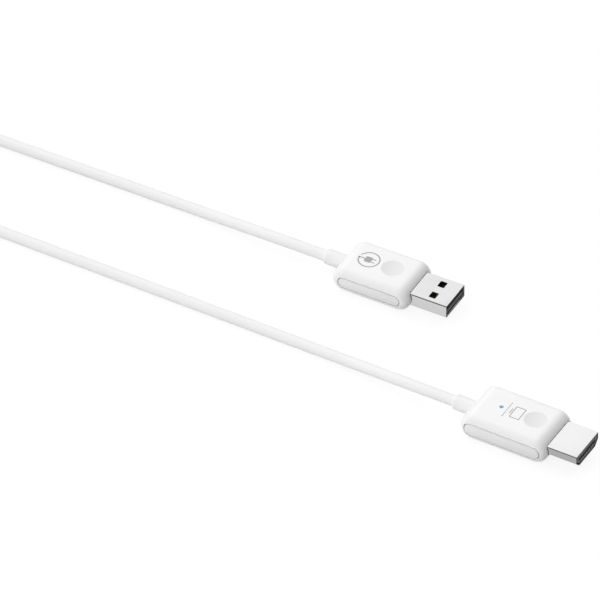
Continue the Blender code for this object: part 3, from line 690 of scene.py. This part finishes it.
def makePowerBlock():
    end, sizes = powerEnd, tongueSizes
    axis = end["height"] / 2
    low = axis - end["plugHeight"] / 2 + sizes["play"]
    high = axis + end["plugHeight"] / 2 - sizes["play"]
    front, rear = -sizes["setback"], -end["sleeveLength"]
    root = front - sizes["length"]
    block = addBlock("powerBlock", (front - rear, end["plugWidth"] - 2 * sizes["play"], sizes["height"]),
                     ((front + rear) / 2, 0, low + sizes["height"] / 2))
    selectFaces(block, lambda m, n: True)
    bpy.ops.mesh.bisect(plane_co=(root * mm, 0, 0), plane_no=(1, 0, 0))
    leaveEdit()
    selectFaces(block, lambda m, n: n.z > 0.9 and m.x < root)
    bpy.ops.mesh.extrude_region_move()
    bpy.ops.transform.translate(value=(0, 0, (high - low - sizes["height"]) * mm))
    leaveEdit()
    selectEdges(block, lambda a, b: near(a.x, front) and near(b.x, front))
    bevelPicked(sizes["round"], sizes["roundSteps"])
    leaveEdit()
    smoothOff(block)
    return finishPiece(block, end, insulatorBlack, "black_insulator", "power_contact_block")


makeVideoBlock()
makeVideoContacts()
makePowerBlock()
print("insulators and contacts ready")


# Status lamp and printed signs

lampFacts = {"grain": 900, "roughness": 0.2, "roughSpread": 0.1, "glow": 0.5,
             "body": ((0.07, 0.21, 0.33), (0.09, 0.26, 0.39)),
             "light": ((0.10, 0.26, 0.36), (0.12, 0.31, 0.43))}


def makeLens():
    end, sizes, facts = receiverEnd, lampSizes, lampFacts
    tall = end["height"] - sizes["foot"]
    lens = addRod("lampLens", sizes["radius"], tall, (*lampPlace, sizes["foot"] + tall / 2),
                  sides=sizes["sides"])
    selectEdges(lens, lambda a, b: near(a.z, end["height"]) and near(b.z, end["height"]))
    bevelPicked(sizes["bevel"], sizes["bevelSteps"])
    leaveEdit()
    smoothOff(lens)
    finish = newFinish("lampBlue")
    cloud = finish.noise(facts["grain"])
    finish.set(Base_Color=finish.mix(cloud, *facts["body"]),
               Roughness=facts["roughness"] + facts["roughSpread"] * cloud,
               Emission_Color=finish.mix(cloud, *facts["light"]), Emission_Strength=facts["glow"])
    return finishPiece(lens, end, finish.owner, "lamp_lens", "light_pipe")


# A patch has its place in x and y, its length and its width. The ring's opening is in degrees
signSizes = {"ink": 0.02, "line": 0.30, "screen": (-24.33, 0.05, 3.5, 5.36),
             "stand": (-26.6, 0.0, 0.30, 2.5), "dotRow": (-28.0, -3.25, 3.25, 9), "dot": 0.42,
             "ring": (-30.5, 0.27, 3.6), "ringSides": 96, "ringLine": 0.45, "ringOpen": (5, 20),
             "plugBody": (-30.75, 0.27, 2.3, 2.6), "plugRound": 0.5, "plugSteps": 4,
             "pinLength": 1.3, "pinSide": 0.7, "wireWidth": 0.42}


def addPatch(name, x, y, long, wide, high):
    deselectAll()
    bpy.ops.mesh.primitive_plane_add(size=1, location=(x * mm, y * mm, high * mm))
    patch = bpy.context.object
    patch.name = name
    patch.scale = (long * mm, wide * mm, 1)
    bpy.ops.object.transform_apply(location=True, rotation=True, scale=True)
    return patch


def joinPatches(patches, name, end):
    deselectAll()
    for patch in patches:
        patch.select_set(True)
    bpy.context.view_layer.objects.active = patches[0]
    bpy.ops.object.join()
    sign = bpy.context.object
    sign.name = name
    thicken(sign, signSizes["ink"], 0)
    return finishPiece(sign, end, printGrey, "grey_plastic")


def makeReceiverSigns():
    sizes, high = signSizes, receiverEnd["height"]
    screen = addPatch("screenSign", *sizes["screen"], high)
    selectFaces(screen, lambda m, n: True)
    bpy.ops.mesh.inset(thickness=sizes["line"] * mm)
    bpy.ops.mesh.delete(type="FACE")
    leaveEdit()
    patches = [screen, addPatch("stand", *sizes["stand"], high)]
    x, first, last, count = sizes["dotRow"]
    for i in range(count):
        y = first + (last - first) * i / (count - 1)
        patches.append(addPatch("dot", x, y, sizes["dot"], sizes["dot"], high))
    return joinPatches(patches, "receiverSigns", receiverEnd)


def makePowerSigns():
    sizes, high = signSizes, powerEnd["height"]
    x, y, radius = sizes["ring"]
    deselectAll()
    bpy.ops.mesh.primitive_circle_add(vertices=sizes["ringSides"], radius=radius * mm, fill_type="NGON",
                                      location=(x * mm, y * mm, high * mm))
    ring = bpy.context.object
    bpy.ops.object.transform_apply(location=True, rotation=True, scale=True)
    selectFaces(ring, lambda m, n: True)
    bpy.ops.mesh.inset(thickness=sizes["ringLine"] * mm)
    bpy.ops.mesh.delete(type="FACE")
    leaveEdit()
    # the ring is a cord: open beside the tail
    first, last = sizes["ringOpen"]
    selectFaces(ring, lambda m, n: first < math.degrees(math.atan2(m.y - y, x - m.x)) < last)
    bpy.ops.mesh.delete(type="FACE")
    leaveEdit()
    bx, by, long, wide = sizes["plugBody"]
    body = addPatch("plugBody", bx, by, long, wide, high)
    selectEdges(body, lambda a, b: True)
    bpy.ops.mesh.bevel(offset=sizes["plugRound"] * mm, segments=sizes["plugSteps"], affect="VERTICES")
    leaveEdit()
    patches = [ring, body]
    pin, wire = sizes["pinLength"], sizes["wireWidth"]
    for side in (-1, 1):
        patches.append(addPatch("pin", bx + (long + pin) / 2, by + side * sizes["pinSide"], pin, wire, high))
    tail = (x - radius + bx - long / 2) / 2
    patches.append(addPatch("tail", tail, by, bx - long / 2 - (x - radius), wire, high))
    return joinPatches(patches, "powerSigns", powerEnd)


makeLens()
makeReceiverSigns()
makePowerSigns()
print("lamp and signs ready")


# Lead

leadFacts = {"diameter": 3.6, "length": 0.388, "steps": 10}    # length in metres
leadRoute = (
    (-23.2, 0.0, 4.55), (-30.5, 0.02, 4.53), (-41.5, 0.49, 4.06), (-54.5, 1.6, 2.96),
    (-67.5, 2.43, 2.13), (-81.5, 2.71, 1.85), (-110.0, 2.71, 1.85), (-150.0, 2.71, 1.85),
    (-190.0, 2.71, 1.85), (-210.0, 2.71, 1.85), (-222.0, 2.95, 1.85), (-231.4, 5.55, 1.85),
    (-238.3, 12.25, 1.85), (-240.8, 21.55, 1.85), (-238.3, 30.85, 1.85), (-231.4, 37.65, 1.85),
    (-222.0, 40.15, 1.85), (-210.0, 40.55, 1.85), (-190.0, 40.93, 1.85), (-165.0, 41.4, 1.85),
    (-150.0, 41.65, 1.85), (-136.0, 41.685, 2.09), (-123.0, 41.2, 2.83), (-110.0, 40.45, 3.85),
    (-98.0, 40.21, 4.27), (-91.446, 40.283, 4.3),
)


def makeLead():
    shape = bpy.data.curves.new("powerLead", "CURVE")
    shape.dimensions = "3D"
    shape.bevel_depth = leadFacts["diameter"] / 2 * mm
    shape.bevel_resolution = leadFacts["steps"]
    shape.resolution_u = leadFacts["steps"]
    shape.use_fill_caps = True
    line = shape.splines.new("BEZIER")
    line.bezier_points.add(len(leadRoute) - 1)
    for point, place in zip(line.bezier_points, leadRoute):
        point.co = Vector(place) * mm
        point.handle_left_type = point.handle_right_type = "AUTO"
    lead = bpy.data.objects.new("powerLead", shape)
    bpy.context.scene.collection.objects.link(lead)
    shape.materials.append(jacketWhite)
    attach(lead, "root")
    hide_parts("power_lead")
    return lead


lead = makeLead()
replaced = ("power_housing", "power_inlay_near", "power_inlay_far", "power_cord_boot", "power_plug_sleeve",
            "power_contact_block", "power_lead")


# Finishes for the solids that stay as they are

innerRoughness = 0.5
innerFinishes = {
    "base_plate": whiteGloss,
    "power_contact": goldPlate,
    "main_board": ((0.035, 0.19, 0.09), (0.03, 0.15, 0.07)),
    "chip": ((0.045, 0.045, 0.05), (0.035, 0.035, 0.04)),
    "radio_can": nickelPlate,
    "clock_crystal": nickelPlate,
    "supply_coil": ((0.16, 0.16, 0.16), (0.12, 0.12, 0.12)),
    "capacitor": ((0.55, 0.40, 0.26), (0.48, 0.34, 0.21)),
    "status_led": ((0.80, 0.78, 0.70), (0.74, 0.72, 0.62)),
    "wire_positive": ((0.55, 0.05, 0.04), (0.48, 0.04, 0.03)),
    "wire_negative": ((0.03, 0.03, 0.03), (0.025, 0.025, 0.025)),
    "inner_mould": jacketWhite,
}
for part, finish in innerFinishes.items():
    if isinstance(finish, tuple):
        finish = mouldedFinish(part + "Finish", *finish, innerRoughness, softGrain)
    for name, piece in frame["nodes"].items():
        if part in name and name not in replaced:
            piece.data.materials.clear()
            piece.data.materials.append(finish)


# Floor, light and camera

def rayKinds(finish):
    path = finish.tree.nodes.new("ShaderNodeLightPath")
    return [Sum(finish.tree, path.outputs[kind]) for kind in
            ("Is Camera Ray", "Is Glossy Ray", "Is Transmission Ray")]


floorFacts = {"size": 12, "bounce": 0.58, "shown": 0.16, "glow": 0.86}


def makeFloor():
    facts = floorFacts
    deselectAll()
    bpy.ops.mesh.primitive_plane_add(size=facts["size"], location=(0, 0, 0))
    floor = bpy.context.object
    floor.name = "floor"
    finish = newFinish("floorWhite")
    camera, glossy, through = rayKinds(finish)
    seen = camera.most(glossy).most(through)
    finish.tree.nodes.remove(finish.shader)
    tone = finish.mix(seen, (facts["bounce"],) * 3, (facts["shown"],) * 3)
    diffuse = finish.node("BsdfDiffuse", Color=tone)
    glow = finish.node("Emission", Strength=facts["glow"] * seen)
    both = finish.tree.nodes.new("ShaderNodeAddShader")
    finish.tree.links.new(diffuse.socket, both.inputs[0])
    finish.tree.links.new(glow.socket, both.inputs[1])
    finish.tree.links.new(both.outputs[0], finish.tree.nodes["Material Output"].inputs[0])
    floor.data.materials.append(finish.owner)


# Soft boxes as azimuth, elevation and strength: none to the right, and a white sheet behind for the metal
skyFacts = {"boxes": ((90, 52, 1.18), (247, 10, 1.80), (225, 45, 0.52), (135, 45, 0.72), (270, 45, 0.22)),
            "focus": 3, "dark": 0.16, "sheet": 1.30, "sheetFrom": (-0.374, 0.657, 0.654),
            "sheetEdge": 0.76, "sheetSlope": 6.0}


def makeSky():
    facts = skyFacts
    world = bpy.data.worlds.new("studio")
    bpy.context.scene.world = world
    finish = Finish(world)
    x, y, z = finish.parts(finish.node("TexCoord"))

    def towards(way):
        return (way[0] * x + way[1] * y + way[2] * z).most(0.0)

    soft = 0.0
    for azimuth, elevation, strength in facts["boxes"]:
        a, e = math.radians(azimuth), math.radians(elevation)
        way = (math.cos(a) * math.cos(e), math.sin(a) * math.cos(e), math.sin(e))
        soft = soft + strength * towards(way) ** facts["focus"]
    past = towards(facts["sheetFrom"]) - facts["sheetEdge"]
    sheet = (facts["sheetSlope"] * past).most(0.0).least(1.0)
    mirrored = facts["dark"] + facts["sheet"] * sheet
    camera, glossy, through = rayKinds(finish)
    light = soft + glossy * (mirrored - soft)
    seen = camera.most(through)
    back = finish.tree.nodes["Background"]
    connect(finish.tree, light + seen * (1 - light), back.inputs["Strength"])
    back.inputs["Color"].default_value = (1, 1, 1, 1)


cameraFacts = {"target": (-88.052, 17.735, 4.55), "azimuth": 29.625, "elevation": 40.85,
               "distance": 4.0, "pixelsPerMm": 3.2332, "picture": 600, "sensor": 36.0}


def makeCamera():
    facts = cameraFacts
    a, e = math.radians(facts["azimuth"]), math.radians(facts["elevation"])
    back = Vector((math.sin(a) * math.cos(e), -math.cos(a) * math.cos(e), math.sin(e)))
    data = bpy.data.cameras.new("camera")
    data.sensor_width = facts["sensor"]
    data.lens = facts["sensor"] * facts["pixelsPerMm"] * facts["distance"] / mm / facts["picture"]
    camera = bpy.data.objects.new("camera", data)
    camera.location = Vector(facts["target"]) * mm + back * facts["distance"]
    camera.rotation_euler = (-back).to_track_quat("-Z", "Y").to_euler()
    bpy.context.scene.collection.objects.link(camera)
    bpy.context.scene.camera = camera


makeFloor()
makeSky()
makeCamera()
bpy.context.scene.view_settings.view_transform = "Standard"
print("stage ready")
